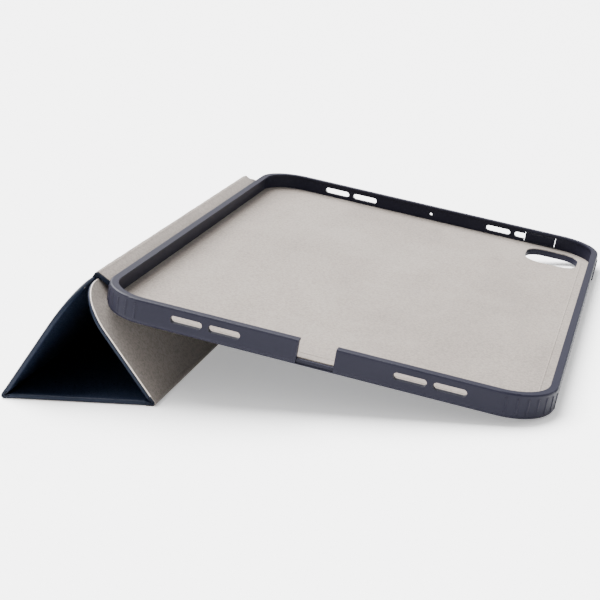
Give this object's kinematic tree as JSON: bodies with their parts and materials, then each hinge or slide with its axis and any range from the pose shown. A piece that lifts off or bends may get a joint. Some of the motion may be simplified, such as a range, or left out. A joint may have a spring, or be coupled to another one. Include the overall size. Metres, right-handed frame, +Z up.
{
  "type": "tablet case",
  "caption": "Folio case for an 11-inch tablet: soft moulded tray on a narrow spine, with a three-panel magnetic cover folded into a low prism stand.",
  "frame": {"origin": "on the surface the case stands on, below the middle of its box", "axes": "+Z up; +Y along the tray's long side, away from the charging port end; +X across the tray, from the spine side down the slope"},
  "size_m": [0.2254, 0.2532, 0.0491],
  "materials": {
    "tpu": "moulded TPU, fine matte, greyish navy",
    "back_plastic": "moulded hard plastic",
    "pu_leather": "fine-grained PU leather, dark navy",
    "fold_leather": "PU leather at the folds, dark navy",
    "microfibre": "short-nap microfibre, taupe grey",
    "board": "pressed fibre board",
    "magnet": "nickel-plated magnet"
  },
  "bodies": {
    "tray": {"tray_shell": "tpu", "back_plate": "back_plastic", "back_skin": "pu_leather", "tray_lining": "microfibre", "spine_anchor": "pu_leather", "tray_fold": "fold_leather"},
    "volume_up": {"volume_up_pad": "tpu"},
    "volume_down": {"volume_down_pad": "tpu"},
    "power": {"power_pad": "tpu"},
    "spine": {"spine_skin": "pu_leather", "spine_strip": "board", "spine_lining": "microfibre", "ridge_fold": "fold_leather"},
    "panel_1": {"panel_1_skin": "pu_leather", "panel_1_board": "board", "panel_1_lining": "microfibre", "stand_magnets": "magnet", "panel_1_2_fold": "fold_leather"},
    "panel_2": {"panel_2_skin": "pu_leather", "panel_2_board": "board", "panel_2_lining": "microfibre", "panel_2_3_fold": "fold_leather"},
    "panel_3": {"panel_3_skin": "pu_leather", "panel_3_board": "board", "panel_3_lining": "microfibre", "closing_margin": "pu_leather", "closing_magnets": "magnet"}
  },
  "joints": [
    {"name": "cover_swing", "type": "hinge", "parent": "spine", "child": "panel_1", "pos_m": [-0.07508, 0, 0.04812], "axis": [0, 1, 0], "range_deg": [0, 179.42]},
    {"name": "spine_swing", "type": "hinge", "parent": "tray", "child": "spine", "pos_m": [-0.06934, 0, 0.0436], "axis": [0, 1, 0], "range_deg": [0, 65]},
    {"name": "stand_fold", "type": "hinge", "parent": "panel_1", "child": "panel_2", "pos_m": [-0.1115, 0, 0.0012], "axis": [0, 1, 0], "range_deg": [0, 127.82], "deforming": ["closing_margin", "closing_magnets"]},
    {"name": "third_fold", "type": "hinge", "parent": "panel_2", "child": "panel_3", "pos_m": [-0.0463, 0, 0.0012], "axis": [0, 1, 0], "range_deg": [0, 123]},
    {"name": "volume_up_press", "type": "slide", "parent": "tray", "child": "volume_up", "axis": [-0.9773, 0, 0.212], "range_m": [0, 0.0004], "stiffness_N_per_m": 1500},
    {"name": "volume_down_press", "type": "slide", "parent": "tray", "child": "volume_down", "axis": [-0.9773, 0, 0.212], "range_m": [0, 0.0004], "stiffness_N_per_m": 1500},
    {"name": "power_press", "type": "slide", "parent": "tray", "child": "power", "axis": [0, -1, 0], "range_m": [0, 0.0004], "stiffness_N_per_m": 1500}
  ],
  "couplings": [
    {"joint": "spine_swing", "follows": "cover_swing", "ratio": 0.36227},
    {"joint": "third_fold", "follows": "stand_fold", "ratio": 0.96229}
  ]
}
